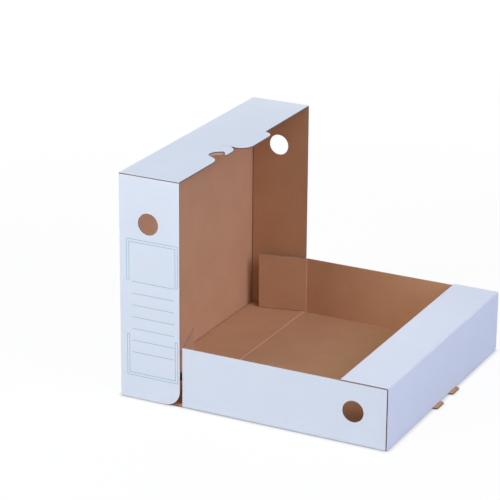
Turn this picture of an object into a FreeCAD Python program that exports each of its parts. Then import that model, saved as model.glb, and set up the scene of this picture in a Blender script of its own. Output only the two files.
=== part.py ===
import FreeCAD, Part
import os

# Archive box folded from one corrugated board, in its open pose: the cover stands upright on the
# spine, and the tray lies flat beside it, turned down on the crease between spine and tray floor.
# X runs from the cover to the tray, Y from the front end to the back end, Z up.
# The origin is the middle of the underside of the whole open box.

doc = FreeCAD.newDocument("ArchiveBox")

# Driving sizes, in millimetres and degrees
SIZES = [
    ("board", 1.6, "thickness of the corrugated board"),
    ("liner", 0.4, "crushed board left in a fold line"),
    ("cover_length", 323.0, "outside length of the cover, front end to back end"),
    ("cover_depth", 75.0, "outside depth of the closed box"),
    ("cover_height", 264.0, "outside height of the closed box"),
    ("tray_depth", 250.0, "tray fold line to the outside of the end wall"),
    ("lip_width", 56.0, "strip folded over the end of the tray"),
    ("wall_slack", 0.5, "cover wall to tray wall, each side"),
    ("lip_slack", 0.4, "closed tray lip to side panel"),
    ("fold_gap", 0.5, "fold line to the edge of the panel that swings"),
    ("fold_clear", 0.3, "full board to the swung panel in a fold line"),
    ("liner_tip", 0.1, "liner kept short of the fold line"),
    ("hole_radius", 12.5, "finger holes"),
    ("label_hole_in", 36.5, "finger hole from the outside of the side panel"),
    ("label_hole_up", 209.5, "finger hole above the floor, closed box"),
    ("spine_hole_in", 75.0, "spine finger hole from the front end"),
    ("label_round", 18.0, "lower free corner of a label panel"),
    ("fold_round", 1.4, "outside of a folded corner"),
    ("top_flap_length", 68.0, "glue flap under the cover top, from its fold"),
    ("top_flap_ease", 4.0, "glue flap kept back from the mouth and the side panel"),
    ("end_flap_length", 65.0, "glue flap behind the tray end wall"),
    ("lip_flap_length", 34.0, "glue flap under the tray lip"),
    ("flap_ease", 0.6, "glue flap kept back from its neighbours"),
    ("flap_taper", 6.0, "slanted side of a glue flap"),
    ("corner_fold_in", 2.0, "corner flap fold line from the tray fold line"),
    ("corner_flap_length", 60.0, "corner flap from its fold line"),
    ("corner_flap_ease", 0.6, "corner flap above the tray floor and below the wall top"),
    ("corner_flap_round", 1.5, "free corners of a corner flap"),
    ("corner_front_angle", 73.0, "front corner flap turned in from its wall, in degrees"),
    ("corner_back_angle", 11.5, "back corner flap turned in from its wall, in degrees"),
    ("hook_start", 12.5, "lock hook from the middle of the tray edge"),
    ("hook_length", 20.5, "lock hook along the tray edge"),
    ("hook_reach", 5.5, "lock hook past the end wall"),
    ("hook_round", 2.5, "outer corners of a lock hook"),
    ("tongue_front", 137.5, "front side of the tongue, from the front end"),
    ("tongue_back", 205.5, "back side of the tongue, from the front end"),
    ("tongue_reach", 12.0, "tongue past the free edge of the cover top"),
    ("tongue_front_round", 14.0, "front corner of the tongue"),
    ("tongue_back_round", 11.0, "back corner of the tongue"),
    ("slit_length", 19.5, "slit beside the tongue, from the free edge"),
    ("slit_width", 0.6, "slit beside the tongue"),
    ("shoulder_round", 10.0, "rounded shoulder in front of the slit"),
    ("notch_front", 84.5, "thumb notch, front side of its mouth, from the front end"),
    ("notch_mouth", 24.0, "thumb notch, width of its mouth"),
    ("notch_reach", 17.5, "thumb notch, from the free edge inward"),
    ("notch_round", 2.0, "corners of the thumb notch"),
]

sheet = doc.addObject("Spreadsheet::Sheet", "sizes")
for row, (alias, value, meaning) in enumerate(SIZES, 1):
    sheet.set("A%d" % row, alias)
    sheet.set("B%d" % row, str(value))
    sheet.set("C%d" % row, meaning)
    sheet.setAlias("B%d" % row, alias)
doc.recompute()

# Lengths that several panels share, written as expressions on the sheet
ALIASES = sorted((alias for alias, value, meaning in SIZES), key=len, reverse=True)


def bind(text):
    """Point each size name in an expression at the sheet."""
    words = text.replace("(", " ( ").replace(")", " ) ").split()
    return " ".join("sizes." + word if word in ALIASES else word for word in words)


LEFT = "( 0 - ( cover_depth + tray_depth + hook_reach ) / 2 )"
FRONT = "( 0 - cover_length / 2 )"
TRAY_X = "( " + LEFT + " + cover_depth )"
TRAY_INSET = "( board + wall_slack )"
TRAY_Y = "( " + FRONT + " + " + TRAY_INSET + " )"
TRAY_WIDTH = "( cover_length - 2 * " + TRAY_INSET + " )"
TRAY_HEIGHT = "( cover_depth - board - lip_slack )"
WALL_TOP = "( " + TRAY_HEIGHT + " - board )"
SETBACK = "( board + fold_clear )"
WALL_START = "( corner_fold_in + " + SETBACK + " )"
MIDDLE = "( cover_length / 2 )"


def new_body(label, x, y, z):
    body = doc.addObject("PartDesign::Body", label)
    body.Label = label
    for axis, text in (("x", x), ("y", y), ("z", z)):
        body.setExpression("Placement.Base." + axis, bind(text))
    return body


def new_sketch(body, plane, name):
    sketch = body.newObject("Sketcher::SketchObject", body.Label + "_" + name)
    support = [f for f in body.Origin.OriginFeatures if f.Role == plane][0]
    sketch.AttachmentSupport = [(support, "")]
    sketch.MapMode = "FlatFace"
    return sketch


def draw_outline(sketch, points):
    """Closed outline through points, each held by two bound distances from the sketch origin."""
    import Sketcher
    count = len(points)
    spots = [FreeCAD.Vector(10 + 3 * i, 5 + 2 * (i % 3), 0) for i in range(count)]
    first = sketch.GeometryCount
    for i in range(count):
        sketch.addGeometry(Part.LineSegment(spots[i], spots[(i + 1) % count]), False)
    for i in range(count):
        sketch.addConstraint(Sketcher.Constraint("Coincident", first + i, 2,
                                                 first + (i + 1) % count, 1))
    for i, point in enumerate(points):
        for kind, text in zip(("DistanceX", "DistanceY"), point):
            if text == "0":
                on_axis = -2 if kind == "DistanceX" else -1
                sketch.addConstraint(Sketcher.Constraint("PointOnObject", first + i, 1, on_axis))
                continue
            number = sketch.addConstraint(Sketcher.Constraint(kind, -1, 1, first + i, 1, 10.0 + 3 * i))
            sketch.renameConstraint(number, "%s%d" % (kind[-1].lower(), i))
            sketch.setExpression("Constraints.%s%d" % (kind[-1].lower(), i), bind(text))


def draw_hole(sketch, across, up):
    import Sketcher
    hole = sketch.addGeometry(Part.Circle(FreeCAD.Vector(60, 60, 0), FreeCAD.Vector(0, 0, 1), 8), False)
    for kind, name, text in (("DistanceX", "hole_across", across), ("DistanceY", "hole_up", up)):
        number = sketch.addConstraint(Sketcher.Constraint(kind, -1, 1, hole, 3, 60.0))
        sketch.renameConstraint(number, name)
        sketch.setExpression("Constraints." + name, bind(text))
    number = sketch.addConstraint(Sketcher.Constraint("Radius", hole, 8.0))
    sketch.renameConstraint(number, "hole_radius")
    sketch.setExpression("Constraints.hole_radius", bind("hole_radius"))


def pad(body, sketch, thickness, name, reverse=False):
    feature = body.newObject("PartDesign::Pad", body.Label + "_" + name)
    feature.Profile = sketch
    feature.setExpression("Length", bind(thickness))
    feature.Reversed = reverse
    doc.recompute()
    sketch.Visibility = False
    return feature


def round_corners(body, base, sketch, corners, radius, name):
    """Round the edges that stand on the numbered corners of the outline."""
    doc.recompute()
    spots = [sketch.Placement.multVec(sketch.Geometry[i].StartPoint) for i in corners]
    normal = sketch.Placement.Rotation.multVec(FreeCAD.Vector(0, 0, 1))
    chosen = []
    for number, edge in enumerate(base.Shape.Edges, 1):
        ends = [v.Point for v in edge.Vertexes]
        if len(ends) != 2 or ends[0].sub(ends[1]).cross(normal).Length > 1e-6:
            continue
        for spot in spots:
            if ends[0].sub(spot).cross(normal).Length < 1e-4:
                chosen.append("Edge%d" % number)
                break
    if len(chosen) < len(corners):
        raise ValueError("%s: a corner to round was not found" % body.Label)
    feature = body.newObject("PartDesign::Fillet", body.Label + "_" + name)
    feature.Base = (base, chosen)
    feature.setExpression("Radius", bind(radius))
    doc.recompute()
    return feature


def round_edges(body, base, picks, radius, name):
    """Round straight edges whose middle lies on the named sides of the body's own bounding box."""
    doc.recompute()
    box = base.Shape.BoundBox
    sides = {"x-": ("x", box.XMin), "x+": ("x", box.XMax), "y-": ("y", box.YMin),
             "y+": ("y", box.YMax), "z-": ("z", box.ZMin), "z+": ("z", box.ZMax)}
    chosen = []
    for number, edge in enumerate(base.Shape.Edges, 1):
        middle = edge.CenterOfMass
        for pick in picks:
            if all(abs(getattr(middle, sides[s][0]) - sides[s][1]) < 1e-4 for s in pick):
                chosen.append("Edge%d" % number)
                break
    if len(chosen) < len(picks):
        raise ValueError("%s: an edge to round was not found" % body.Label)
    feature = body.newObject("PartDesign::Fillet", body.Label + "_" + name)
    feature.Base = (base, chosen)
    feature.setExpression("Radius", bind(radius))
    doc.recompute()
    return feature


def rectangle(x0, y0, x1, y1):
    return [(x0, y0), (x1, y0), (x1, y1), (x0, y1)]


nodes = []

# Spine panel: lies on the floor between the feet of the label panels; only its outer liner
# reaches the two fold lines
body = new_body("spine_panel", LEFT, TRAY_Y, "0")
spine_hole = ("cover_depth / 2", "spine_hole_in - " + TRAY_INSET)
sketch = new_sketch(body, "XY_Plane", "liner_outline")
draw_outline(sketch, rectangle("liner_tip", "0", "cover_depth - liner_tip", TRAY_WIDTH))
draw_hole(sketch, *spine_hole)
pad(body, sketch, "liner", "liner")
sketch = new_sketch(body, "XY_Plane", "board_outline")
draw_outline(sketch, rectangle(SETBACK, "0", "cover_depth - " + SETBACK, TRAY_WIDTH))
draw_hole(sketch, *spine_hole)
pad(body, sketch, "board", "board")
nodes.append(body)

# Side panel: the big upright back of the cover, swinging on the outer fold line of the spine
body = new_body("side_panel", LEFT, FRONT, "0")
sketch = new_sketch(body, "YZ_Plane", "outline")
draw_outline(sketch, rectangle("0", "fold_gap", "cover_length", "cover_height - board"))
feature = pad(body, sketch, "board", "pad")
round_edges(body, feature, [("x-", "y-"), ("x-", "y+")], "fold_round", "folds")
nodes.append(body)

# Label panels: the two narrow ends of the cover, with a finger hole and a rounded free corner
for end, start in (("front", FRONT), ("back", "( " + FRONT + " + cover_length - board )")):
    body = new_body("label_panel_" + end, LEFT, start, "0")
    sketch = new_sketch(body, "XZ_Plane", "outline")
    draw_outline(sketch, rectangle("board", "fold_gap", "cover_depth", "cover_height - board"))
    draw_hole(sketch, "label_hole_in", "label_hole_up")
    feature = pad(body, sketch, "board", "pad", True)
    round_corners(body, feature, sketch, [1], "label_round", "free_corner")
    nodes.append(body)

# Cover top: thumb notch, slit and tongue along its free edge
body = new_body("cover_top", LEFT, FRONT, "( cover_height - board )")
sketch = new_sketch(body, "XY_Plane", "outline")
notch_back = "notch_front + notch_mouth"
draw_outline(sketch, [
    ("0", "0"),
    ("cover_depth", "0"),
    ("cover_depth", "notch_front"),
    ("cover_depth - notch_reach * 0.3", "notch_front + notch_mouth * 0.28"),
    ("cover_depth - notch_reach", "notch_front + notch_mouth * 0.62"),
    ("cover_depth - notch_reach * 0.97", notch_back),
    ("cover_depth - notch_reach * 0.62", notch_back + " + notch_mouth * 0.31"),
    ("cover_depth - notch_reach * 0.28", notch_back + " + notch_mouth * 0.3"),
    ("cover_depth", notch_back),
    ("cover_depth", "tongue_front - slit_width"),
    ("cover_depth - slit_length", "tongue_front - slit_width"),
    ("cover_depth - slit_length", "tongue_front"),
    ("cover_depth + tongue_reach", "tongue_front"),
    ("cover_depth + tongue_reach", "tongue_back"),
    ("cover_depth", "tongue_back"),
    ("cover_depth", "cover_length"),
    ("0", "cover_length"),
])
feature = pad(body, sketch, "board", "pad")
feature = round_corners(body, feature, sketch, [9], "shoulder_round", "shoulder")
feature = round_corners(body, feature, sketch, [12], "tongue_front_round", "tongue_front_corner")
feature = round_corners(body, feature, sketch, [13], "tongue_back_round", "tongue_back_corner")
feature = round_corners(body, feature, sketch, [2, 4, 5, 6, 7, 8], "notch_round", "notch_corners")
round_edges(body, feature, [("x-", "z+")], "fold_round", "fold")
nodes.append(body)

# Glue flaps under the cover top, one folded in from each label panel
for end, start, side in (("front", "( " + FRONT + " + board )", False),
                         ("back", "( " + FRONT + " + cover_length - board - top_flap_length )", True)):
    body = new_body("top_flap_" + end, "( " + LEFT + " + top_flap_ease )", start,
                    "( cover_height - 2 * board )")
    sketch = new_sketch(body, "XY_Plane", "outline")
    wide = "cover_depth - 2 * top_flap_ease"
    if side:
        points = [("flap_taper", "0"), (wide + " - flap_taper", "0"),
                  (wide, "top_flap_length"), ("0", "top_flap_length")]
    else:
        points = [("0", "0"), (wide, "0"), (wide + " - flap_taper", "top_flap_length"),
                  ("flap_taper", "top_flap_length")]
    draw_outline(sketch, points)
    pad(body, sketch, "board", "pad")
    nodes.append(body)

# Tray floor: from the tray fold line to the end wall, with two lock hooks past the end wall
body = new_body("tray_floor", "( " + TRAY_X + " + fold_gap )", TRAY_Y, "0")
sketch = new_sketch(body, "XY_Plane", "outline")
far = "tray_depth - fold_gap"
middle = MIDDLE + " - " + TRAY_INSET
hook_1 = middle + " - hook_start - hook_length"
hook_2 = middle + " - hook_start"
hook_3 = middle + " + hook_start"
hook_4 = middle + " + hook_start + hook_length"
draw_outline(sketch, [
    ("0", "0"), (far, "0"),
    (far, hook_1), (far + " + hook_reach", hook_1), (far + " + hook_reach", hook_2), (far, hook_2),
    (far, hook_3), (far + " + hook_reach", hook_3), (far + " + hook_reach", hook_4), (far, hook_4),
    (far, TRAY_WIDTH), ("0", TRAY_WIDTH),
])
feature = pad(body, sketch, "board", "pad")
feature = round_corners(body, feature, sketch, [3, 4, 7, 8], "hook_round", "hook_corners")
round_edges(body, feature, [("y-", "z-"), ("y+", "z-")], "fold_round", "folds")
nodes.append(body)

# Tray walls: finger hole in line with the label panel's when the box is closed;
# at the spine end only the outer liner reaches the fold line of the corner flap
for end, start, inward in (("front", TRAY_Y, "0"),
                           ("back", "( " + TRAY_Y + " + " + TRAY_WIDTH + " - board )", "board - liner")):
    body = new_body("tray_wall_" + end, TRAY_X, start, "0")
    sketch = new_sketch(body, "XZ_Plane", "outline")
    draw_outline(sketch, rectangle(WALL_START, "board", "tray_depth - board", WALL_TOP))
    draw_hole(sketch, "label_hole_up", "cover_depth - label_hole_in")
    pad(body, sketch, "board", "pad", True)
    sketch = new_sketch(body, "XZ_Plane", "liner_outline")
    draw_outline(sketch, rectangle("corner_fold_in + liner_tip", "board + corner_flap_ease",
                                   WALL_START + " + 1", WALL_TOP + " - corner_flap_ease"))
    sketch.AttachmentOffset = FreeCAD.Placement()
    sketch.setExpression("AttachmentOffset.Base.z", bind("0 - ( " + inward + " )"))
    pad(body, sketch, "liner", "liner", True)
    nodes.append(body)

# Tray end wall
body = new_body("tray_end_wall", "( " + TRAY_X + " + tray_depth - board )", TRAY_Y, "0")
sketch = new_sketch(body, "YZ_Plane", "outline")
draw_outline(sketch, rectangle("0", "board", TRAY_WIDTH, WALL_TOP))
pad(body, sketch, "board", "pad")
nodes.append(body)

# Tray lip: folded over from the end wall, lying on the tops of the two walls
body = new_body("tray_lip", "( " + TRAY_X + " + tray_depth - lip_width )", TRAY_Y, WALL_TOP)
sketch = new_sketch(body, "XY_Plane", "outline")
draw_outline(sketch, rectangle("0", "0", "lip_width", TRAY_WIDTH))
feature = pad(body, sketch, "board", "pad")
round_edges(body, feature, [("x+", "z+")], "fold_round", "fold")
nodes.append(body)

# Glue flaps of the tray: behind the end wall and under the lip
for end in ("front", "back"):
    near = end == "front"
    inner = "( " + TRAY_Y + " + board )" if near else "( " + TRAY_Y + " + " + TRAY_WIDTH + " - board - %s )"
    body = new_body("end_flap_" + end, "( " + TRAY_X + " + tray_depth - 2 * board )",
                    inner if near else inner % "end_flap_length", "( board + flap_ease )")
    sketch = new_sketch(body, "YZ_Plane", "outline")
    tall = WALL_TOP + " - 2 * board - 2 * flap_ease"
    if near:
        points = [("0", "0"), ("end_flap_length", "flap_taper"),
                  ("end_flap_length", tall + " - flap_taper"), ("0", tall)]
    else:
        points = [("0", "flap_taper"), ("end_flap_length", "0"),
                  ("end_flap_length", tall), ("0", tall + " - flap_taper")]
    draw_outline(sketch, points)
    pad(body, sketch, "board", "pad")
    nodes.append(body)

    body = new_body("lip_flap_" + end, "( " + TRAY_X + " + tray_depth - lip_width + flap_ease )",
                    inner if near else inner % "lip_flap_length", "( " + WALL_TOP + " - board )")
    sketch = new_sketch(body, "XY_Plane", "outline")
    wide = "lip_width - board - 2 * flap_ease"
    if near:
        points = [("0", "0"), (wide, "0"), (wide + " - flap_taper", "lip_flap_length"),
                  ("flap_taper", "lip_flap_length")]
    else:
        points = [("flap_taper", "0"), (wide + " - flap_taper", "0"),
                  (wide, "lip_flap_length"), ("0", "lip_flap_length")]
    draw_outline(sketch, points)
    pad(body, sketch, "board", "pad")
    nodes.append(body)

# Corner flaps: on the spine ends of the tray walls, turned in by their rest angles.
# The outline is drawn to the right of the fold line and turned half round with the flap.
for end, start, angle in (("front", TRAY_Y, "180 - corner_front_angle"),
                          ("back", "( " + TRAY_Y + " + " + TRAY_WIDTH + " )", "180 + corner_back_angle")):
    body = new_body("corner_flap_" + end, "( " + TRAY_X + " + corner_fold_in )", start,
                    "( board + corner_flap_ease )")
    body.Placement.Rotation = FreeCAD.Rotation(FreeCAD.Vector(0, 0, 1), 10)
    body.setExpression("Placement.Rotation.Angle", "( " + bind(angle) + " ) * 1 deg")
    sketch = new_sketch(body, "XZ_Plane", "outline")
    draw_outline(sketch, rectangle("fold_gap", "0", "corner_flap_length",
                                   WALL_TOP + " - board - 2 * corner_flap_ease"))
    feature = pad(body, sketch, "board", "pad", end == "back")
    round_corners(body, feature, sketch, [1, 2], "corner_flap_round", "free_corners")
    nodes.append(body)

doc.recompute()
for item in doc.Objects:
    if "Invalid" in item.State or "Error" in item.State:
        raise ValueError("%s did not compute: %s" % (item.Label, item.State))
os.makedirs("parts", exist_ok=True)
for body in nodes:
    shape = body.Shape
    if not shape.isValid() or len(shape.Solids) != 1:
        raise ValueError("%s is not one valid solid" % body.Label)
    shape.exportStep("parts/%s.step" % body.Label)
    box = shape.BoundBox
    print("%-20s x %8.2f %8.2f  y %8.2f %8.2f  z %7.2f %7.2f  volume %9.1f" % (
        body.Label, box.XMin, box.XMax, box.YMin, box.YMax, box.ZMin, box.ZMax, shape.Volume))
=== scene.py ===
import bpy
import bmesh
import math
from mathutils import Matrix, Vector
from mathutils.geometry import tessellate_polygon


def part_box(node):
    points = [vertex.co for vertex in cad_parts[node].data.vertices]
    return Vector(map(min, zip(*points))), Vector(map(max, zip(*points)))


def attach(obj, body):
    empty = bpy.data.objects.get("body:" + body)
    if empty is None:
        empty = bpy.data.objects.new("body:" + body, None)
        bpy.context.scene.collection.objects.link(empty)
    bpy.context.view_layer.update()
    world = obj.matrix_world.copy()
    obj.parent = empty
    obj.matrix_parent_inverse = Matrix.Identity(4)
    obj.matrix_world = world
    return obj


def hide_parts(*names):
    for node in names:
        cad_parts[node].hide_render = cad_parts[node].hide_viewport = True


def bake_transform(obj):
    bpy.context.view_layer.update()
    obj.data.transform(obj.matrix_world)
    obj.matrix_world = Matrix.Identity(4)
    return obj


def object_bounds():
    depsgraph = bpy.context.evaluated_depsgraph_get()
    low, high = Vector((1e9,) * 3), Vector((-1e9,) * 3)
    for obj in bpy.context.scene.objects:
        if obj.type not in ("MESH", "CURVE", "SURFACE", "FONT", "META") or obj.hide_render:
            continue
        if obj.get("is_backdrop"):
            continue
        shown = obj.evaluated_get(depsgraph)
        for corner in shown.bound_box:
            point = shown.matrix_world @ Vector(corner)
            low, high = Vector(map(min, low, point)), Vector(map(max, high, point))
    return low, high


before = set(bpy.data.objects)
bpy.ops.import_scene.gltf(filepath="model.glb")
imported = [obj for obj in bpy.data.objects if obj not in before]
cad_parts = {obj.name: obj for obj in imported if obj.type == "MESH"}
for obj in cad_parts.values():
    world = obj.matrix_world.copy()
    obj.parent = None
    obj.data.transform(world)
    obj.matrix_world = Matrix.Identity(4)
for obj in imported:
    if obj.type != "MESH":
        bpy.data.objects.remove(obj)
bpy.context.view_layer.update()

# Archive box of fine-flute corrugated board. Every panel is built as real board: a white liner outside,
# a kraft liner inside and a fluted sheet between them, which shows at every cut edge and hole.
# Sizes are in millimetres from the outer, lower, front corner of the cover: x towards the tray,
# y towards the back end, z up.

MM = 0.001

# The box
LENGTH, DEPTH, HEIGHT = 323.0, 75.0, 264.0
TRAY_DEPTH, LIP_WIDTH = 250.0, 56.0
TRAY_INSET = 2.1
TRAY_WIDTH = LENGTH - 2 * TRAY_INSET
TRAY_TOP = 73.0
TRAY_END = DEPTH + TRAY_DEPTH
HOLE_RADIUS = 12.5
LABEL_HOLE = (36.5, 209.5)
SPINE_HOLE_Y = 75.0

# The board, a liner and the fluted sheet in thickness, then the waves of that sheet and what it is
# drawn longer at each end before it is trimmed
BOARD, LINER, MEDIUM = 1.6, 0.3, 0.2
FLUTE_PITCH, FLUTE_SWING, FLUTE_SPARE = 3.2, 0.38, 1.0
WALL_TOP = TRAY_TOP - BOARD
COVER_TOP = HEIGHT - BOARD

# A crushed top edge, closed with a pale kraft that is partly its own colour and partly a painted
# highlight
# of light from above: how wide it is and its play to each liner. Then how far the inner liner stays
# inside the outer face at a folded corner, and the groove that it leaves along the side panel
CRUSH_WIDTH, CRUSH_PLAY = 0.5, 0.02
INNER_SETBACK, GROOVE = 0.45, 0.9

# From a fold line between two bodies: where the swung panel starts, where the full board beside it
# starts, and where the outer liner goes over into the strip of the fold
FOLD_GAP, FOLD_BOARD, FOLD_REACH = 0.5, 1.9, 2.2

# The strips of a fold line: where the outer one starts to curve, where both bodies hold it, and how far
# the inner one stands up
CREASE_RUN, CREASE_HOLD, CREASE_LIFT = 1.1, 0.8, 0.5

# How finely round shapes are drawn, which edges stay sharp, in degrees, and what is welded, in metres
ROUND_STEPS, HOLE_STEPS, CREASE_STEPS, FLUTE_STEPS = 6, 56, 10, 8
SHARP_PANEL, SHARP_STRIP = 35.0, 50.0
WELD = 1e-7

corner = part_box("side_panel")[0]


def at(x, y, z):
    """A point of the box in the row frame, in metres."""
    return Vector((corner.x + x * MM, corner.y + y * MM, z * MM))


# Node trees

class Value:
    """What a node gives, to be used in sums, products and comparisons, or as another node's input."""

    def __init__(self, recipe, socket):
        self.recipe, self.socket = recipe, socket

    def math(self, operation, *others):
        inputs = dict(enumerate((self,) + others))
        return self.recipe.node("ShaderNodeMath", dict(operation=operation), inputs)

    def __add__(self, other):
        return self.math("ADD", other)

    def __radd__(self, other):
        return self.math("ADD", other)

    def __sub__(self, other):
        return self.math("SUBTRACT", other)

    def __rsub__(self, other):
        return (self * -1.0) + other

    def __mul__(self, other):
        return self.math("MULTIPLY", other)

    def __rmul__(self, other):
        return self.math("MULTIPLY", other)

    def within(self, low, high):
        """1 from low to high, else 0."""
        return self.math("COMPARE", (low + high) / 2, (high - low) / 2)

    def rise(self, low, high):
        """0 below low and 1 above high, smooth between them."""
        return self.recipe.node("ShaderNodeMapRange", dict(interpolation_type="SMOOTHSTEP"),
                                {"Value": self, "From Min": low, "From Max": high})


class Recipe:
    """A node tree that is filled anew."""

    def __init__(self, tree):
        self.tree = tree
        tree.nodes.clear()

    def link(self, value, socket):
        """Feed a socket with a value, with a list of values, or with a plain number or colour."""
        if isinstance(value, list):
            for one in value:
                self.link(one, socket)
        elif isinstance(value, Value):
            self.tree.links.new(value.socket, socket)
        else:
            socket.default_value = value

    def node(self, kind, settings, inputs, output=0):
        """Add a node with its settings and inputs, and return one of its outputs."""
        made = self.tree.nodes.new(kind)
        for name, value in settings.items():
            setattr(made, name, value)
        for name, value in inputs.items():
            self.link(value, made.inputs[name])
        return Value(self, made.outputs[output])


# Materials

class Paint(Recipe):
    """A node material with a Principled surface."""

    def __init__(self, name):
        self.material = bpy.data.materials.new(name)
        self.material.use_nodes = True
        super().__init__(self.material.node_tree)
        self.surface = self.tree.nodes.new("ShaderNodeBsdfPrincipled")
        self.output = self.tree.nodes.new("ShaderNodeOutputMaterial")
        self.tree.links.new(self.surface.outputs[0], self.output.inputs["Surface"])

    def coordinates(self, scale=(1.0, 1.0, 1.0)):
        """The place on the box, in metres, stretched by a scale."""
        place = self.node("ShaderNodeTexCoord", {}, {}, "Object")
        return self.node("ShaderNodeMapping", {}, {"Vector": place, "Scale": scale})

    def along(self, layer, axis):
        """One coordinate of a piece's own map, in metres."""
        place = self.node("ShaderNodeUVMap", dict(uv_map=layer), {})
        return self.node("ShaderNodeSeparateXYZ", {}, {"Vector": place}, axis)

    def noise(self, place, scale, detail=2.0, roughness=0.5, distortion=0.0):
        return self.node("ShaderNodeTexNoise", {}, {"Vector": place, "Scale": scale, "Detail": detail,
                                                    "Roughness": roughness, "Distortion": distortion})

    def mix(self, factor, first, second):
        return self.node("ShaderNodeMix", dict(data_type="RGBA"), {0: factor, 6: first, 7: second}, 2)

    def bump(self, height, distance):
        return self.node("ShaderNodeBump", {}, {"Height": height, "Distance": distance, "Strength": 1.0})

    def set(self, **inputs):
        for name, value in inputs.items():
            self.link(value, self.surface.inputs[name.replace("_", " ")])


def rgb(red, green, blue):
    """An sRGB colour, 0 to 255, as the linear one that the shaders take."""
    parts = [c / 255.0 for c in (red, green, blue)]
    return tuple(c / 12.92 if c <= 0.04045 else ((c + 0.055) / 1.055) ** 2.4 for c in parts) + (1.0,)


def washboard(paint):
    """The faint waves that the flutes press through a liner, 0 to 1."""
    across = paint.along("flutes", 0)
    return (across * (2.0 * math.pi / (FLUTE_PITCH * MM))).math("SINE") * 0.5 + 0.5


# The clouds, grain and fibres of paper: the noise of each, and between which of its values it comes out
# in the colour. Then the shares of a relief, and its height in millimetres
CLOUDS, CLOUDS_SHOW = dict(scale=26.0, detail=3.0, roughness=0.55), (0.3, 0.7)
GRAIN, GRAIN_SHOWS = dict(scale=900.0, detail=3.0, roughness=0.6), (0.6, 0.85)
FIBRES, FIBRES_SHOW = dict(scale=1500.0, distortion=0.4), (0.58, 0.8)
FIBRE_STRETCH = (0.25, 1.0, 0.3)
WAVE_SHARE, GRAIN_SHARE, FIBRE_SHARE = 0.6, 0.35, 0.25
RELIEF = 0.06
GRAIN_GLOSS = 0.12


def paper(name, base, dark, pale, cloud, fibre, roughness, wave, specular):
    """A liner: cloudy colour, short fibres along the board and the flutes showing through."""
    paint = Paint(name)
    clouds = paint.noise(paint.coordinates(), **CLOUDS)
    grain = paint.noise(paint.coordinates(), **GRAIN)
    fibres = paint.noise(paint.coordinates(FIBRE_STRETCH), **FIBRES)
    waves = washboard(paint)
    colour = paint.mix(clouds.rise(*CLOUDS_SHOW) * cloud, base, dark)
    colour = paint.mix(fibres.rise(*FIBRES_SHOW) * fibre, colour, pale)
    colour = paint.mix(grain.rise(*GRAIN_SHOWS) * fibre, colour, dark)
    paint.colour = paint.mix(waves * wave, colour, dark)
    height = waves * WAVE_SHARE + grain * GRAIN_SHARE + fibres * FIBRE_SHARE
    paint.set(Base_Color=paint.colour, Roughness=grain * GRAIN_GLOSS + (roughness - GRAIN_GLOSS / 2),
              Normal=paint.bump(height, RELIEF * MM), Specular_IOR_Level=specular)
    return paint


WHITE = dict(base=rgb(229, 236, 246), dark=rgb(222, 230, 242), pale=rgb(236, 241, 249),
             cloud=0.25, fibre=0.35, roughness=0.62, wave=0.10, specular=0.3)
white_paper = paper("white_liner", **WHITE)

KRAFT = dict(base=rgb(212, 165, 128), dark=rgb(195, 148, 111), pale=rgb(224, 185, 152),
             cloud=0.3, fibre=0.45, roughness=0.85, wave=0.30, specular=0.15)
kraft_paper = paper("kraft_liner", **KRAFT)

# The fluted sheet: the brown of the fluting, painted darker and greyer as painted shade in its open
# flutes
FLUTED_SHADE = dict(base=rgb(112, 92, 90), dark=rgb(84, 68, 68), pale=rgb(146, 124, 118),
              cloud=0.5, fibre=0.5, roughness=0.9, wave=0.0, specular=0.1)
fluted_shade_paper = paper("fluted_sheet", **FLUTED_SHADE)

# Pale kraft for crushed top edges: partly their own colour, partly a painted highlight of light from
# above
CRUSHED_HIGHLIGHT = dict(base=rgb(208, 176, 158), dark=rgb(186, 150, 130), pale=rgb(226, 202, 188),
               cloud=0.5, fibre=0.5, roughness=0.9, wave=0.0, specular=0.1)
crushed_highlight_paper = paper("crushed_edge_highlight", **CRUSHED_HIGHLIGHT)

WHITE_EDGE = dict(base=rgb(214, 208, 212), dark=rgb(190, 182, 186), pale=rgb(230, 226, 230),
                  cloud=0.4, fibre=0.5, roughness=0.9, wave=0.0, specular=0.1)
white_edge_paper = paper("white_cut_edge", **WHITE_EDGE)

KRAFT_EDGE = dict(base=rgb(170, 136, 120), dark=rgb(140, 108, 94), pale=rgb(198, 170, 154),
                  cloud=0.5, fibre=0.6, roughness=0.9, wave=0.0, specular=0.1)
kraft_edge_paper = paper("kraft_cut_edge", **KRAFT_EDGE)

# Dark brown for the inner side of the cover's fold line: painted shade in the fold
CREASE_SHADE = dict(base=rgb(132, 92, 66), dark=rgb(112, 76, 54), pale=rgb(156, 114, 86),
             cloud=0.5, fibre=0.5, roughness=0.9, wave=0.0, specular=0.05)
crease_shade_paper = paper("painted_crease_shade", **CREASE_SHADE)

# A lighter kraft for the inner side of the tray and corner fold lines: partly the crushed fibres' own
# paler colour, partly a painted highlight on the crease
PALE_CREASE = dict(base=rgb(228, 184, 154), dark=rgb(212, 166, 134), pale=rgb(238, 200, 174),
            cloud=0.4, fibre=0.5, roughness=0.8, wave=0.0, specular=0.15)
pale_crease_paper = paper("pale_crease_highlight", **PALE_CREASE)

# The printed writing field of a label panel, across from the side panel and up from the foot
INK = rgb(141, 182, 197)
INK_WIDTH = 0.6
INK_GRAIN, INK_SHOWS, INK_LOSS = 700.0, (0.25, 0.5), 0.35
FIELD_SIDES = (9.2, 72.6)
BRACKET_SIDE, BRACKET_CROSS = 2.9, 3.1
UPPER_BRACKET = (140.9, 189.4)
LOWER_BRACKET = (28.0, 76.9)
PAST_OPENING = 10.0
FIRST_LINE, LINE_STEP, LINE_COUNT = 55.9, 14.0, 7
LINE_ENDS = (15.7, 68.3)


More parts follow.
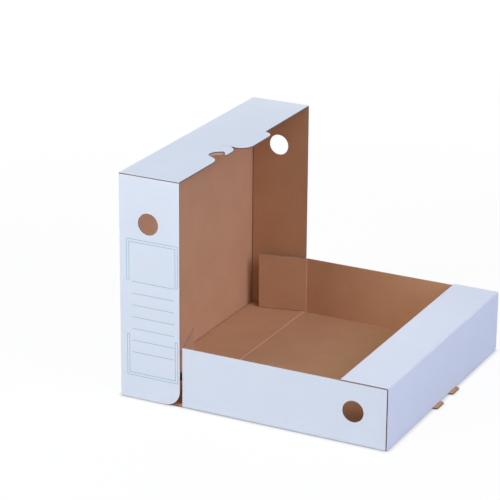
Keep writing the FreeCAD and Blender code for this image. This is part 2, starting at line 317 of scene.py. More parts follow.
def bracket(p, q, left, right, low, high, opens_down):
    """Two lines side by side, round three sides of a field."""
    def shape(grow):
        outer = p.within(left - grow, right + grow) * q.within(low - grow, high + grow)
        if opens_down:
            inner_low, inner_high = low - PAST_OPENING, high - BRACKET_CROSS - grow
        else:
            inner_low, inner_high = low + BRACKET_CROSS + grow, high + PAST_OPENING
        inner = (p.within(left + BRACKET_SIDE + grow, right - BRACKET_SIDE - grow)
                 * q.within(inner_low, inner_high))
        return outer * (1.0 - inner)

    return shape(INK_WIDTH / 2) - shape(-INK_WIDTH / 2)


def printed(name):
    """The white liner with a printed writing field: two brackets and lines between them."""
    paint = paper(name, **WHITE)
    p = paint.along("field", 0) * (1.0 / MM)
    q = paint.along("field", 1) * (1.0 / MM)
    brackets = bracket(p, q, *FIELD_SIDES, *UPPER_BRACKET, True).math(
        "MAXIMUM", bracket(p, q, *FIELD_SIDES, *LOWER_BRACKET, False))
    foot = FIRST_LINE - LINE_STEP / 2
    lines = (q - foot).math("MODULO", LINE_STEP).within((LINE_STEP - INK_WIDTH) / 2,
                                                        (LINE_STEP + INK_WIDTH) / 2)
    lines = lines * q.within(foot, foot + LINE_STEP * LINE_COUNT) * p.within(*LINE_ENDS)
    ink = paint.noise(paint.coordinates(), INK_GRAIN).rise(*INK_SHOWS) * INK_LOSS + (1.0 - INK_LOSS)
    paint.set(Base_Color=paint.mix(brackets.math("MAXIMUM", lines) * ink, paint.colour, INK))
    return paint


printed_paper = printed("printed_liner")


# Board

def finger_hole(across, up):
    """The round hole with its middle at a place on a panel."""
    angles = [2 * math.pi * k / HOLE_STEPS for k in range(HOLE_STEPS)]
    return [(across + HOLE_RADIUS * math.cos(a), up + HOLE_RADIUS * math.sin(a)) for a in angles]


def rectangle(left, low, right, high):
    return [(left, low), (right, low), (right, high), (left, high)]


def rounded(points, radii):
    """The outline with each corner that has a radius turned into an arc."""
    result = []
    count = len(points)
    for i, point in enumerate(points):
        if i not in radii:
            result.append(tuple(point))
            continue
        radius = radii[i]
        here = Vector(point)
        before = (Vector(points[i - 1]) - here).normalized()
        after = (Vector(points[(i + 1) % count]) - here).normalized()
        half = before.angle(after) / 2
        run = radius / math.tan(half)
        centre = here + (before + after).normalized() * (radius / math.sin(half))
        first, last = here + before * run - centre, here + after * run - centre
        turn = first.angle_signed(last)
        for k in range(ROUND_STEPS + 1):
            angle = -turn * k / ROUND_STEPS
            spoke = Vector((first.x * math.cos(angle) - first.y * math.sin(angle),
                            first.x * math.sin(angle) + first.y * math.cos(angle)))
            result.append(tuple(centre + spoke))
    return result


def shifted(outline, moves):
    """The outline with some of its straight sides moved outward, by side number."""
    points = [Vector(p) for p in outline]
    count = len(points)
    moved = [p.copy() for p in points]
    for side, amount in moves.items():
        a, b = points[side], points[(side + 1) % count]
        run = (b - a).normalized()
        out = Vector((run.y, -run.x))
        moved[side] += out * amount
        moved[(side + 1) % count] += out * amount
    return [tuple(p) for p in moved]


def side_between(outline, a, b):
    """Number of the outline's side that runs from a to b."""
    return list(zip(outline, outline[1:] + outline[:1])).index((a, b))


class Panel:
    """One panel of board: its place, its outline seen from the white side, and how its sides end.

    folds, creases and grooves give a size for some sides, by side number: the radius of a folded corner,
    where the board starts beside a fold line, and how far the inner liner is cut back. Crushed top sides
    are closed between the liners with a pale kraft, partly their own colour and partly a painted
    highlight of light from above. field turns a place on the panel into one on the printed field."""

    def __init__(self, node, body, origin, across, along, outline, flutes, holes=(), folds=None,
                 creases=None, grooves=None, crushed_highlit=(), outside=None, field=None, slot="white_board"):
        self.node, self.body, self.slot = node, body, slot
        self.origin = at(*origin)
        self.across, self.along = Vector(across).normalized(), Vector(along).normalized()
        self.out = self.across.cross(self.along)
        self.outline, self.flutes, self.holes = outline, flutes, list(holes)
        self.folds = folds or {}
        self.creases = creases or {}
        self.grooves = grooves or {}
        self.outside = outside or white_paper
        self.crushed_highlit = crushed_highlit
        self.field = field or (lambda u, v: (0.0, 0.0))

    def point(self, u, v, deep):
        return self.origin + (self.across * u + self.along * v - self.out * deep) * MM


def sheet_of_paper(mesh, panel, outline, holes, top, bottom, folds, slots):
    """A thin closed sheet between two depths; folded sides go on round a quarter turn."""
    loops = [outline] + [list(reversed(h)) for h in holes]
    flat = [p for loop in loops for p in loop]
    upper = [mesh.verts.new(panel.point(u, v, top)) for u, v in flat]
    lower = [mesh.verts.new(panel.point(u, v, bottom)) for u, v in flat]
    for a, b, c in tessellate_polygon([[Vector((u, v, 0.0)) for u, v in loop] for loop in loops]):
        mesh.faces.new((upper[a], upper[b], upper[c])).material_index = slots[0]
        mesh.faces.new((lower[a], lower[c], lower[b])).material_index = slots[1]
    start = 0
    for number, loop in enumerate(loops):
        for i in range(len(loop)):
            a, b = start + i, start + (i + 1) % len(loop)
            if number == 0 and i in folds:
                fold_round(mesh, panel, flat[a], flat[b], (upper[a], upper[b], lower[a], lower[b]),
                           top, bottom, folds[i], slots)
            else:
                mesh.faces.new((upper[a], upper[b], lower[b], lower[a])).material_index = slots[2]
        start += len(loop)


def fold_round(mesh, panel, a, b, rim, top, bottom, radius, slots):
    """The quarter turn of a folded liner, from one straight side of its sheet."""
    run = (Vector(b) - Vector(a)).normalized()
    out = Vector((run.y, -run.x))
    upper, lower = [(rim[0], rim[1])], [(rim[2], rim[3])]
    for k in range(1, ROUND_STEPS + 1):
        angle = math.pi / 2 * k / ROUND_STEPS
        for rows, size in ((upper, radius - top), (lower, radius - bottom)):
            shift = out * (size * math.sin(angle))
            deep = radius - size * math.cos(angle)
            rows.append(tuple(mesh.verts.new(panel.point(p[0] + shift.x, p[1] + shift.y, deep))
                              for p in (a, b)))
    for k in range(ROUND_STEPS):
        for rows, slot in ((upper, slots[0]), (lower, slots[1])):
            face = mesh.faces.new((rows[k][0], rows[k][1], rows[k + 1][1], rows[k + 1][0]))
            face.material_index = slot
        for end in (0, 1):
            face = mesh.faces.new((upper[k][end], upper[k + 1][end], lower[k + 1][end], lower[k][end]))
            face.material_index = slots[2]
    mesh.faces.new((upper[-1][0], upper[-1][1], lower[-1][1], lower[-1][0])).material_index = slots[2]


def fluting_tree():
    """Geometry nodes for the fluted sheet of one panel, trimmed to the outline of the panel."""
    tree = bpy.data.node_groups.new("fluting", "GeometryNodeTree")
    sizes = [("Width", "NodeSocketFloat"), ("Length", "NodeSocketFloat"), ("Rows", "NodeSocketInt"),
             ("Pitch", "NodeSocketFloat"), ("Swing", "NodeSocketFloat"),
             ("Thickness", "NodeSocketFloat"), ("Depth", "NodeSocketFloat"),
             ("Outline", "NodeSocketObject"), ("Material", "NodeSocketMaterial")]
    for name, kind in sizes:
        tree.interface.new_socket(name, in_out="INPUT", socket_type=kind)
    tree.interface.new_socket("Sheet", in_out="OUTPUT", socket_type="NodeSocketGeometry")
    sheet = Recipe(tree)
    sockets = tree.nodes.new("NodeGroupInput").outputs
    given = {name: Value(sheet, sockets[name]) for name, kind in sizes}

    plane = sheet.node("GeometryNodeMeshGrid", {}, {
        "Size X": given["Width"], "Size Y": given["Length"], "Vertices X": given["Rows"],
        "Vertices Y": 2})
    place = sheet.node("GeometryNodeInputPosition", {}, {})
    turns = sheet.node("ShaderNodeSeparateXYZ", {}, {"Vector": place}).math("DIVIDE", given["Pitch"])
    wave = (turns * (2 * math.pi)).math("SINE")
    lift = wave.math("MULTIPLY_ADD", given["Swing"], given["Depth"])
    rise = sheet.node("ShaderNodeCombineXYZ", {}, {"Z": lift})
    waved = sheet.node("GeometryNodeSetPosition", {}, {"Geometry": plane, "Offset": rise})
    drop = sheet.node("ShaderNodeCombineXYZ", {}, {"Z": given["Thickness"] * -1.0})
    thick = sheet.node("GeometryNodeExtrudeMesh", dict(mode="FACES"), {
        "Mesh": waved, "Offset": drop, "Offset Scale": 1.0, "Individual": False})
    back = sheet.node("GeometryNodeFlipFaces", {}, {"Mesh": waved})
    closed = sheet.node("GeometryNodeJoinGeometry", {}, {0: [back, thick]})
    welded = sheet.node("GeometryNodeMergeByDistance", {}, {"Geometry": closed, "Distance": WELD})
    cutter = sheet.node("GeometryNodeObjectInfo", {}, {"Object": given["Outline"]}, "Geometry")
    trimmed = sheet.node("GeometryNodeMeshBoolean", dict(operation="INTERSECT", solver="MANIFOLD"),
                         {1: [welded, cutter]})
    real = sheet.node("GeometryNodeRealizeInstances", {}, {"Geometry": trimmed})
    painted = sheet.node("GeometryNodeSetMaterial", {}, {
        "Geometry": real, "Material": given["Material"]})
    sheet.link(painted, tree.nodes.new("NodeGroupOutput").inputs[0])
    return tree


FLUTING = fluting_tree()


def solid_mesh(name, draw):
    """A mesh object from a function that draws it, with its faces pointing outwards."""
    mesh = bmesh.new()
    draw(mesh)
    bmesh.ops.remove_doubles(mesh, verts=mesh.verts, dist=WELD)
    bmesh.ops.recalc_face_normals(mesh, faces=mesh.faces)
    data = bpy.data.meshes.new(name)
    mesh.to_mesh(data)
    mesh.free()
    made = bpy.data.objects.new(name, data)
    bpy.context.scene.collection.objects.link(made)
    return made


class Flat:
    """A plain drawing plane for the cutter of a fluted sheet, in metres."""

    @staticmethod
    def point(u, v, deep):
        return Vector((u * MM, v * MM, -deep * MM))


def fluted_sheet(panel):
    """The fluted sheet of a panel as a mesh, in the plane of the panel's drawing."""
    flip = panel.flutes == "u"
    outline = [(v, u) for u, v in reversed(panel.outline)] if flip else panel.outline
    holes = [[(v, u) for u, v in reversed(h)] for h in panel.holes] if flip else panel.holes
    cutter = solid_mesh(panel.node + "_cutter", lambda mesh: sheet_of_paper(
        mesh, Flat, outline, holes, 0.0, BOARD, {}, (0, 0, 0)))
    low = [min(p[i] for p in outline) for i in (0, 1)]
    high = [max(p[i] for p in outline) for i in (0, 1)]
    waves = math.ceil((high[0] - low[0]) / FLUTE_PITCH) + 1
    width = waves * FLUTE_PITCH
    length = high[1] - low[1] + 2 * FLUTE_SPARE
    middle = (low[0] + width / 2 - FLUTE_PITCH / 2, low[1] - FLUTE_SPARE + length / 2)
    shift = Vector((middle[0] * MM, middle[1] * MM, 0.0))
    cutter.data.transform(Matrix.Translation(-shift))
    carrier = bpy.data.objects.new(panel.node + "_flutes", bpy.data.meshes.new(panel.node + "_flutes"))
    bpy.context.scene.collection.objects.link(carrier)
    modifier = carrier.modifiers.new("fluting", "NODES")
    modifier.node_group = FLUTING
    values = {"Width": width * MM, "Length": length * MM, "Rows": waves * FLUTE_STEPS + 1,
              "Pitch": FLUTE_PITCH * MM, "Swing": FLUTE_SWING * MM, "Thickness": MEDIUM * MM,
              "Depth": -(BOARD - MEDIUM) / 2 * MM, "Outline": cutter, "Material": fluted_shade_paper.material}
    for item in FLUTING.interface.items_tree:
        if item.in_out == "INPUT":
            modifier[item.identifier] = values[item.name]
    bpy.context.view_layer.update()
    graph = bpy.context.evaluated_depsgraph_get()
    data = bpy.data.meshes.new_from_object(carrier.evaluated_get(graph))
    carrier.modifiers.remove(modifier)
    for used in (carrier, cutter):
        bpy.data.objects.remove(used)
    data.transform(Matrix.Translation(shift))
    for vertex in data.vertices:
        u, v, w = vertex.co / MM
        if flip:
            u, v = v, u
        vertex.co = panel.point(u, v, -w)
    return data


def build(panel):
    """One panel as a piece: two liners and the fluted sheet between them."""
    outside, kraft, white_edge, kraft_edge, crushed_highlit, fluted = range(6)
    inner_moves = {side: radius - INNER_SETBACK for side, radius in panel.folds.items()}
    inner_moves.update({side: -width for side, width in panel.grooves.items()})
    crease_moves = {side: start - FOLD_REACH for side, start in panel.creases.items()}

    def liners(mesh):
        outer = shifted(panel.outline, crease_moves)
        sheet_of_paper(mesh, panel, outer, panel.holes, 0.0, LINER, panel.folds,
                       (outside, kraft, white_edge))
        inner = shifted(panel.outline, inner_moves)
        sheet_of_paper(mesh, panel, inner, panel.holes, BOARD - LINER, BOARD, {},
                       (kraft, kraft, kraft_edge))
        # Crushed top sides get the pale kraft, partly a painted highlight of light from above
        for side in panel.crushed_highlit:
            a, b = panel.outline[side], panel.outline[(side + 1) % len(panel.outline)]
            edge = shifted([a, b, b, a], {2: CRUSH_WIDTH})
            sheet_of_paper(mesh, panel, edge, [], LINER + CRUSH_PLAY, BOARD - LINER - CRUSH_PLAY, {},
                           (crushed_highlit, crushed_highlit, crushed_highlit))

    piece = solid_mesh(panel.node + "_board", liners)
    core = fluted_sheet(panel)
    mesh = bmesh.new()
    mesh.from_mesh(piece.data)
    liner_faces = len(mesh.faces)
    mesh.from_mesh(core)
    bpy.data.meshes.remove(core)
    mesh.faces.ensure_lookup_table()
    flutes_map = mesh.loops.layers.uv.new("flutes")
    field_map = mesh.loops.layers.uv.new("field")
    for number, face in enumerate(mesh.faces):
        if number >= liner_faces:
            face.material_index = fluted
        face.smooth = True
        for loop in face.loops:
            offset = loop.vert.co - panel.origin
            u, v = offset.dot(panel.across), offset.dot(panel.along)
            loop[flutes_map].uv = (u, v) if panel.flutes == "v" else (v, u)
            p, q = panel.field(u / MM, v / MM)
            loop[field_map].uv = (p * MM, q * MM)
    mesh.to_mesh(piece.data)
    mesh.free()
    piece.data.set_sharp_from_angle(angle=math.radians(SHARP_PANEL))
    for paint in (panel.outside, kraft_paper, white_edge_paper, kraft_edge_paper, crushed_highlight_paper,
                  fluted_shade_paper):
        piece.data.materials.append(paint.material)
    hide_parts(panel.node)
    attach(piece, panel.body)


# Outlines

WRAP = BOARD
MIDDLE = LENGTH / 2

# The cutting die pinches the ends of the cover top, which turns the white liner down over them
PINCH = 0.4

# The free edge of the cover top from front to back, from the outside of the side panel and from the
# middle of the length
near_side = [(75.4, -84.0), (75.2, -81.5), (74.4, -78.0), (72.6, -73.6), (69.4, -69.9), (65.8, -67.6),
             (62.6, -66.0), (59.6, -64.0), (57.7, -61.2)]
far_side = [(57.0, -58.4), (57.3, -55.2), (58.3, -51.4), (60.2, -48.4), (62.8, -46.2), (65.0, -44.2),
            (67.0, -43.4)]
nose = [(69.0, -44.2), (70.9, -46.6), (72.4, -49.6), (73.6, -52.2), (74.8, -53.4), (75.8, -52.6),
             (76.2, -50.4)]
shoulder = [(76.2, -39.4), (75.8, -36.0), (74.6, -32.8), (72.4, -29.4), (69.6, -26.2), (67.2, -23.9)]
slit = [(64.0, -23.5), (55.6, -24.6), (55.5, -24.0), (64.0, -22.5), (68.5, -22.7), (72.2, -23.9)]
tongue = [(75.6, -23.8), (79.0, -22.6), (82.0, -20.4), (84.4, -17.6), (86.0, -14.4), (86.9, -10.6),
          (87.0, -8.0), (87.0, 31.0), (86.5, 34.6), (85.4, 37.6), (83.4, 40.2), (80.8, 42.2),
          (78.4, 43.4), (76.4, 44.1), (75.4, 45.0)]
free_edge = near_side + far_side + nose + shoulder + slit + tongue
cover_top_edge = ([(WRAP, PINCH), (DEPTH, PINCH)] + [(x, MIDDLE + y) for x, y in free_edge]
                  + [(DEPTH, LENGTH - PINCH), (WRAP, LENGTH - PINCH)])

HOOK_START, HOOK_LENGTH, HOOK_REACH, HOOK_ROUND = 12.5, 20.5, 5.5, 2.5
floor_middle = MIDDLE - TRAY_INSET
floor_end = TRAY_DEPTH - WRAP
hook_end = HOOK_START + HOOK_LENGTH
hooks = [(floor_middle - hook_end, floor_middle - HOOK_START),
         (floor_middle + HOOK_START, floor_middle + hook_end)]
floor_right = TRAY_WIDTH - WRAP
floor_points = [(WRAP, FOLD_GAP), (floor_right, FOLD_GAP), (floor_right, floor_end)]
floor_radii = {}
for low, high in reversed(hooks):
    floor_points += [(high, floor_end), (high, TRAY_DEPTH + HOOK_REACH),
                     (low, TRAY_DEPTH + HOOK_REACH), (low, floor_end)]
    floor_radii[len(floor_points) - 3] = HOOK_ROUND
    floor_radii[len(floor_points) - 2] = HOOK_ROUND
floor_points.append((WRAP, floor_end))
floor_outline = rounded(floor_points, floor_radii)
folded_sides = [((floor_right, FOLD_GAP), (floor_right, floor_end)),
                ((WRAP, floor_end), (WRAP, FOLD_GAP)),
                ((floor_right, floor_end), (hooks[1][1], floor_end)),
                ((hooks[1][0], floor_end), (hooks[0][1], floor_end)),
                ((hooks[0][0], floor_end), (WRAP, floor_end))]
floor_folds = {side_between(floor_outline, a, b): WRAP for a, b in folded_sides}

LABEL_ROUND, TOP_ROUND = 18.0, 0.8
label_top = COVER_TOP - TOP_ROUND
label_outline = rounded([(BOARD, FOLD_GAP), (DEPTH, FOLD_GAP), (DEPTH, label_top), (BOARD, label_top)],
                        {1: LABEL_ROUND})
label_top_side = side_between(label_outline, (DEPTH, label_top), (BOARD, label_top))
label_corner_side = side_between(label_outline, (BOARD, label_top), (BOARD, FOLD_GAP))
label_back = [(DEPTH - u, v) for u, v in reversed(label_outline)]
back_top_side = side_between(label_back, (DEPTH - BOARD, label_top), (0.0, label_top))
back_corner_side = side_between(label_back, (DEPTH - BOARD, FOLD_GAP), (DEPTH - BOARD, label_top))

FLAP_EASE, TAPER = 0.6, 6.0
TOP_FLAP, TOP_EASE, END_FLAP, LIP_FLAP = 68.0, 4.0, 65.0, 34.0
CORNER_FOLD, CORNER_FLAP, CORNER_EASE, CORNER_ROUND = 2.0, 60.0, 0.6, 1.5
CORNER_ANGLE = {"front": 73.0, "back": 11.5}
FRONT_WALL, BACK_WALL = TRAY_INSET, LENGTH - TRAY_INSET
WALLS = {"front": (FRONT_WALL, 1.0), "back": (BACK_WALL, -1.0)}
WALL_START = CORNER_FOLD + FOLD_BOARD
wall_hole = (LABEL_HOLE[1], DEPTH - LABEL_HOLE[0])
wall_length = TRAY_DEPTH - BOARD

flap_high = WALL_TOP - BOARD - 2 * CORNER_EASE
wide_top = DEPTH - 2 * TOP_EASE
tall_end = WALL_TOP - 2 * BOARD - 2 * FLAP_EASE
wide_lip = LIP_WIDTH - BOARD - 2 * FLAP_EASE

X, Y, Z = (1, 0, 0), (0, 1, 0), (0, 0, 1)
panels = [
    Panel("side_panel", "cover", (0, LENGTH, 0), (0, -1, 0), Z,
          rectangle(WRAP, FOLD_GAP, LENGTH - WRAP, COVER_TOP), "v", folds={1: WRAP, 3: WRAP},
          creases={0: FOLD_GAP}),
    Panel("label_panel_front", "cover", (0, 0, 0), X, Z, label_outline, "v",
          holes=[finger_hole(*LABEL_HOLE)], folds={label_top_side: TOP_ROUND},
          grooves={label_corner_side: GROOVE}, outside=printed_paper, field=lambda u, v: (u, v)),
    Panel("label_panel_back", "cover", (DEPTH, LENGTH, 0), (-1, 0, 0), Z, label_back, "v",
          holes=[finger_hole(DEPTH - LABEL_HOLE[0], LABEL_HOLE[1])], folds={back_top_side: TOP_ROUND},
          grooves={back_corner_side: GROOVE}, outside=printed_paper,
          field=lambda u, v: (DEPTH - u, v)),
    Panel("cover_top", "cover", (0, 0, HEIGHT), X, Y, cover_top_edge, "u",
          folds={0: PINCH, len(cover_top_edge) - 2: PINCH, len(cover_top_edge) - 1: WRAP}),
    Panel("spine_panel", "spine", (0, TRAY_INSET, 0), Y, X,
          rectangle(0.0, FOLD_BOARD, TRAY_WIDTH, DEPTH - FOLD_BOARD), "v",
          holes=[finger_hole(SPINE_HOLE_Y - TRAY_INSET, DEPTH / 2)],
          creases={0: FOLD_BOARD, 2: FOLD_BOARD}, grooves={0: GROOVE}, outside=printed_paper,
          field=lambda u, v: (v, SPINE_HOLE_Y - TRAY_INSET + LABEL_HOLE[1] - u)),
    Panel("tray_floor", "tray", (DEPTH, TRAY_INSET, 0), Y, X, floor_outline, "v", folds=floor_folds,
          creases={0: FOLD_GAP}, slot="kraft_board"),
    Panel("tray_wall_front", "tray", (DEPTH, FRONT_WALL, 0), X, Z,
          rectangle(WALL_START, BOARD, wall_length, WALL_TOP), "u", holes=[finger_hole(*wall_hole)],
          creases={3: FOLD_BOARD}, crushed_highlit=(2,)),
    Panel("tray_wall_back", "tray", (TRAY_END, BACK_WALL, 0), (-1, 0, 0), Z,
          rectangle(BOARD, BOARD, TRAY_DEPTH - WALL_START, WALL_TOP), "u",
          holes=[finger_hole(TRAY_DEPTH - wall_hole[0], wall_hole[1])],
          creases={1: FOLD_BOARD}, crushed_highlit=(2,)),
    Panel("tray_end_wall", "tray", (TRAY_END, TRAY_INSET, 0), Y, Z,
          rectangle(0.0, BOARD, TRAY_WIDTH, WALL_TOP), "v"),
    Panel("tray_lip", "tray", (TRAY_END - LIP_WIDTH, TRAY_INSET, TRAY_TOP), X, Y,
          rectangle(0.0, 0.0, LIP_WIDTH - WRAP, TRAY_WIDTH), "u", folds={1: WRAP}),
    Panel("top_flap_front", "cover", (TOP_EASE, BOARD, COVER_TOP), X, Y,
          [(0, 0), (wide_top, 0), (wide_top - TAPER, TOP_FLAP), (TAPER, TOP_FLAP)], "v",
          slot="kraft_board"),
    Panel("top_flap_back", "cover", (TOP_EASE, LENGTH - BOARD - TOP_FLAP, COVER_TOP), X, Y,
          [(TAPER, 0), (wide_top - TAPER, 0), (wide_top, TOP_FLAP), (0, TOP_FLAP)], "v",
          slot="kraft_board"),
    Panel("end_flap_front", "tray", (TRAY_END - BOARD, TRAY_INSET + BOARD, BOARD + FLAP_EASE), Y, Z,
          [(0, 0), (END_FLAP, TAPER), (END_FLAP, tall_end - TAPER), (0, tall_end)], "u",
          slot="kraft_board"),
    Panel("end_flap_back", "tray", (TRAY_END - BOARD, BACK_WALL - BOARD - END_FLAP, BOARD + FLAP_EASE),
          Y, Z, [(0, TAPER), (END_FLAP, 0), (END_FLAP, tall_end), (0, tall_end - TAPER)], "u",
          slot="kraft_board"),
    Panel("lip_flap_front", "tray", (TRAY_END - LIP_WIDTH + FLAP_EASE, TRAY_INSET + BOARD, WALL_TOP),
          X, Y, [(0, 0), (wide_lip, 0), (wide_lip - TAPER, LIP_FLAP), (TAPER, LIP_FLAP)], "u",
          slot="kraft_board"),
    Panel("lip_flap_back", "tray",
          (TRAY_END - LIP_WIDTH + FLAP_EASE, BACK_WALL - BOARD - LIP_FLAP, WALL_TOP),
          X, Y, [(TAPER, 0), (wide_lip - TAPER, 0), (wide_lip, LIP_FLAP), (0, LIP_FLAP)], "u",
          slot="kraft_board"),
]

# The two loose corner flaps, turned away from the walls. Their white side is seen, as on every panel
flap_away = {}
for end, (y, inward) in WALLS.items():
    turn = math.radians(CORNER_ANGLE[end])
    away = Vector((-math.cos(turn), inward * math.sin(turn), 0.0))
    flap_away[end] = away
    base = (DEPTH + CORNER_FOLD, y, BOARD + CORNER_EASE)
    if end == "front":
        across = -away
        outline = rounded(rectangle(-CORNER_FLAP, 0.0, -FOLD_GAP, flap_high),
                          {0: CORNER_ROUND, 3: CORNER_ROUND})
        fold_side = side_between(outline, (-FOLD_GAP, 0.0), (-FOLD_GAP, flap_high))
        top_side = fold_side + 1
    else:
        across = away
        outline = rounded(rectangle(FOLD_GAP, 0.0, CORNER_FLAP, flap_high),
                          {1: CORNER_ROUND, 2: CORNER_ROUND})
        fold_side = side_between(outline, (FOLD_GAP, flap_high), (FOLD_GAP, 0.0))
        top_side = fold_side - 1
    panels.append(Panel("corner_flap_" + end, "corner_" + end, base, across, Z, outline, "u",
                        creases={fold_side: FOLD_GAP}, crushed_highlit=(top_side,), slot="kraft_board"))

for panel in panels:
    build(panel)


# Creases: the liners that go on through a fold line between two bodies

def strip(name, rows, paints):
    """A bent strip of paper. Each row is a point, the way into the paper, and the two ends of the row
    across the strip."""
    def faces(mesh):
        grid = [[mesh.verts.new(spot + along * MM + inward * deep * MM)
                 for deep in (0.0, LINER) for along in ends] for spot, inward, ends in rows]
        # The outer and the inner face of the paper, then its two long edges, each with its look
        for a, b in zip(grid, grid[1:]):
            for i, j, index in ((0, 1, 0), (3, 2, 1), (2, 0, 2), (1, 3, 2)):
                mesh.faces.new((a[i], a[j], b[j], b[i])).material_index = index
        for row in (grid[0], grid[-1]):
            mesh.faces.new((row[0], row[1], row[3], row[2])).material_index = 2

    piece = solid_mesh(name, faces)
    layer = piece.data.uv_layers.new(name="flutes")
    lengthwise = (rows[0][2][1] - rows[0][2][0]).normalized()
    for loop in piece.data.loops:
        layer.data[loop.index].uv = (piece.data.vertices[loop.vertex_index].co.dot(lengthwise), 0.0)
    for face in piece.data.polygons:
        face.use_smooth = True
    piece.data.set_sharp_from_angle(angle=math.radians(SHARP_STRIP))
    for paint in paints:
        piece.data.materials.append(paint.material)
    return piece


def crease(name, bodies, place, lengthwise, first, second, inward, boards, ends, inside):
    """Both liners of a fold line. first and second point away from it along the two panels, inward
    from their white to their kraft faces, boards gives where their full board starts, and inside is
    the look of the inner liner."""
    spans = [[lengthwise * end for end in pair] for pair in ends]

    def span(t):
        return [a * (1 - t) + b * t for a, b in zip(*spans)]

    outer = [(place + first * FOLD_REACH * MM, inward[0], spans[0])]
    for k in range(CREASE_STEPS + 1):
        t = k / CREASE_STEPS
        spot = first * (CREASE_RUN * (1 - t) ** 2) + second * (CREASE_RUN * t ** 2)
        outer.append((place + spot * MM, (inward[0] * (1 - t) + inward[1] * t).normalized(), span(t)))
    outer.append((place + second * FOLD_REACH * MM, inward[1], spans[1]))
    piece = strip(name + "_outside", outer, (white_paper, kraft_paper, white_edge_paper))
    tuple(place + second * (CREASE_HOLD * MM))
    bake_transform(piece)

    low = [first * boards[0] + inward[0] * BOARD, second * boards[1] + inward[1] * BOARD]
    middle = (low[0] + low[1]) / 2 - (inward[0] + inward[1]).normalized() * CREASE_LIFT
    inner = []
    for k in range(CREASE_STEPS + 1):
        t = k / CREASE_STEPS
        spot = low[0] * ((1 - t) ** 2) + middle * (2 * t * (1 - t)) + low[1] * (t ** 2)
        out = -(inward[0] * (1 - t) + inward[1] * t).normalized()
        inner.append((place + spot * MM, out, span(t)))
    piece = strip(name + "_inside", inner, (inside, inside, inside))
    tuple(place + low[0] * MM)
    tuple(place + low[1] * MM)
    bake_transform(piece)


UP, RIGHT, BACKWARD = Vector(Z), Vector(X), Vector(Y)
spine_ends = (TRAY_INSET, LENGTH - TRAY_INSET)
# The inner strip of the cover's fold line is painted dark, a painted shade along the fold
crease("cover_crease", ("spine", "cover"), at(0, 0, 0), BACKWARD, RIGHT, UP, (UP, RIGHT),
       (FOLD_BOARD + GROOVE, FOLD_GAP), (spine_ends, (BOARD, LENGTH - BOARD)), crease_shade_paper)
crease("tray_crease", ("spine", "tray"), at(DEPTH, 0, 0), BACKWARD, -RIGHT, RIGHT, (UP, UP),
       (FOLD_BOARD, FOLD_GAP), (spine_ends, spine_ends), pale_crease_paper)
for end, (y, inward) in WALLS.items():
    turn = math.radians(CORNER_ANGLE[end])
    flap_inward = Vector((math.sin(turn), inward * math.cos(turn), 0.0))
    crease("corner_crease_" + end, ("tray", "corner_" + end), at(DEPTH + CORNER_FOLD, y, 0), UP, RIGHT,
           flap_away[end], (BACKWARD * inward, flap_inward), (FOLD_BOARD, FOLD_GAP),
           ((BOARD, WALL_TOP), (BOARD + CORNER_EASE, BOARD + CORNER_EASE + flap_high)), pale_crease_paper)

# The inner liner is pressed down along the far side of the thumb notch
PRESSED = 2.4
path = [Vector((x, MIDDLE + y)) for x, y in far_side]
rows = []
for i, point in enumerate(path):
    run = (path[min(i + 1, len(path) - 1)] - path[max(i - 1, 0)]).normalized()
    rows.append((at(point.x, point.y, 0), Vector((-run.y, run.x, 0)),
                 (UP * (COVER_TOP - PRESSED), UP * (COVER_TOP + LINER / 3))))
# Its face toward the notch has the pale crushed kraft, partly a painted highlight
notch_liner = strip("notch_liner", rows, (crushed_highlight_paper, kraft_paper, kraft_edge_paper))
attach(notch_liner, "cover")


# Studio

# Lamps: place and size in metres, power in watts, colour
LAMPS = {
    "front": ((-1.1, -2.3, 1.4), (1.8, 1.4), 48.0, (0.95, 0.96, 1.0)),
    "side": ((2.3, -0.3, 1.3), (1.4, 1.4), 33.0, (0.71, 0.71, 1.0)),
    "above": ((1.2, -0.8, 1.9), (1.6, 1.6), 11.0, (0.92, 1.0, 0.9)),
    "back": ((-1.3, 2.1, 0.45), (1.8, 0.8), 34.0, (0.93, 0.96, 1.0)),
}
LAMP_TARGET = Vector((0.0, 0.0, 0.1))


def area_lamp(name, place, size, power, colour):
    data = bpy.data.lights.new(name, "AREA")
    data.shape = "RECTANGLE"
    data.size, data.size_y = size
    data.energy = power
    data.color = colour
    lamp = bpy.data.objects.new(name, data)
    lamp.location = place
    lamp.rotation_euler = (LAMP_TARGET - Vector(place)).to_track_quat("-Z", "Y").to_euler()
    bpy.context.scene.collection.objects.link(lamp)


for name, lamp in LAMPS.items():
    area_lamp(name, *lamp)

AMBIENT, AMBIENT_STRENGTH = (0.9, 0.94, 1.0, 1.0), 0.25
WHITE_LIGHT = (1.0, 1.0, 1.0, 1.0)
world = bpy.data.worlds.new("studio")
bpy.context.scene.world = world
world.use_nodes = True
air = Recipe(world.node_tree)
camera_ray = air.node("ShaderNodeLightPath", {}, {}, "Is Camera Ray")
seen = camera_ray.math("MAXIMUM", air.node("ShaderNodeLightPath", {}, {}, "Is Transmission Ray"))
ambient = air.node("ShaderNodeBackground", {}, {"Color": AMBIENT, "Strength": AMBIENT_STRENGTH})
backdrop = air.node("ShaderNodeBackground", {}, {"Color": WHITE_LIGHT, "Strength": 1.0})
surroundings = air.tree.nodes.new("ShaderNodeOutputWorld")
air.link(air.node("ShaderNodeMixShader", {}, {0: seen, 1: ambient, 2: backdrop}),
         surroundings.inputs["Surface"])

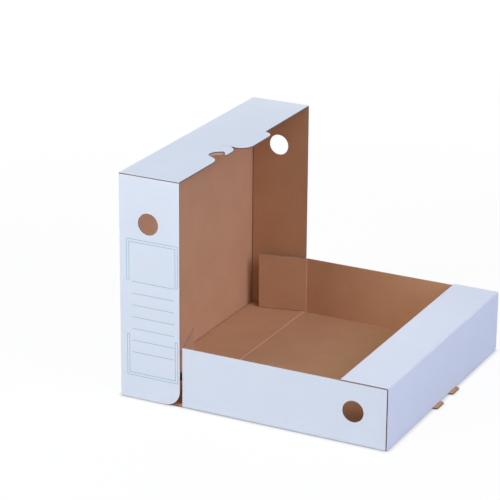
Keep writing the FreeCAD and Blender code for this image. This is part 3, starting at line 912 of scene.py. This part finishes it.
# The floor shines white for the camera alone, a little less near the box, and keeps its shadow. Under
# the spine it is painted dark, a painted shadow, and it is dark where a piece touches it. Its size and
# the reach of its glow are in metres, its drop and the reach of the contact shadow in millimetres.
FLOOR_SIZE, FLOOR_DROP = 14.0, 0.2
GLOW = 1.1
NEAR_GLOW, FAR_GLOW = 0.84, 0.92
GLOW_NEAR_TO, GLOW_FAR_FROM = 0.5, 2.0
FLOOR_COLOUR, SPINE_SHADE_COLOUR = (0.5, 0.5, 0.5, 1.0), (0.03, 0.03, 0.03, 1.0)
CONTACT, CONTACT_SAMPLES = 6.0, 8
floor_paint = Paint("studio_floor")
place = floor_paint.node("ShaderNodeTexCoord", {}, {}, "Object")
spine_low, spine_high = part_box("spine_panel")
# The spine's footprint, where the floor is painted dark as a shadow and has no glow
spine_shade = 1.0
for axis in (0, 1):
    spot = floor_paint.node("ShaderNodeSeparateXYZ", {}, {"Vector": place}, axis)
    spine_shade = spot.within(spine_low[axis], spine_high[axis]) * spine_shade
floor_paint.set(Base_Color=floor_paint.mix(spine_shade, FLOOR_COLOUR, SPINE_SHADE_COLOUR), Roughness=0.9,
                Specular_IOR_Level=0.0)
camera_ray = floor_paint.node("ShaderNodeLightPath", {}, {}, "Is Camera Ray")
clear = floor_paint.node("ShaderNodeAmbientOcclusion", dict(samples=CONTACT_SAMPLES),
                         {"Distance": CONTACT * MM}, 1)
away = floor_paint.node("ShaderNodeVectorMath", dict(operation="LENGTH"), {0: place}, 1)
far = away.rise(GLOW_NEAR_TO, GLOW_FAR_FROM)
white_out = camera_ray * (far * (FAR_GLOW - NEAR_GLOW) + NEAR_GLOW) * (1.0 - spine_shade) * clear
glow = floor_paint.node("ShaderNodeEmission", {}, {"Strength": GLOW})
lit = Value(floor_paint, floor_paint.surface.outputs[0])
floor_paint.link(floor_paint.node("ShaderNodeMixShader", {}, {0: white_out, 1: lit, 2: glow}),
                 floor_paint.output.inputs["Surface"])


def floor_plane(mesh):
    half = FLOOR_SIZE / 2
    corners = rectangle(-half, -half, half, half)
    mesh.faces.new([mesh.verts.new((x, y, -FLOOR_DROP * MM)) for x, y in corners])


floor = solid_mesh("floor", floor_plane)
floor.data.materials.append(floor_paint.material)
floor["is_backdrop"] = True

# Camera, fitted to the corners of the box in the photograph
CAMERA_PLACE = (1.0572, -2.2667, 1.0769)
CAMERA_TURN, CAMERA_RAISE, CAMERA_ROLL = 26.759, 20.363, 0.443
CAMERA_LENS, CAMERA_SENSOR, CAMERA_SIGHT = 169.92, 36.0, 50.0
turn, rise = math.radians(CAMERA_TURN), math.radians(CAMERA_RAISE)
back = Vector((math.sin(turn) * math.cos(rise), -math.cos(turn) * math.cos(rise), math.sin(rise)))
level = Vector((math.cos(turn), math.sin(turn), 0.0))
upright = back.cross(level)
roll = math.radians(CAMERA_ROLL)
camera_x = level * math.cos(roll) + upright * math.sin(roll)
camera_y = upright * math.cos(roll) - level * math.sin(roll)
camera_data = bpy.data.cameras.new("camera")
camera_data.sensor_width = CAMERA_SENSOR
camera_data.lens = CAMERA_LENS
camera_data.clip_end = CAMERA_SIGHT
camera = bpy.data.objects.new("camera", camera_data)
camera.matrix_world = Matrix((camera_x, camera_y, back)).transposed().to_4x4()
camera.location = CAMERA_PLACE
bpy.context.scene.collection.objects.link(camera)
bpy.context.scene.camera = camera
bpy.context.scene.view_settings.view_transform = "Standard"

low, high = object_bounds()
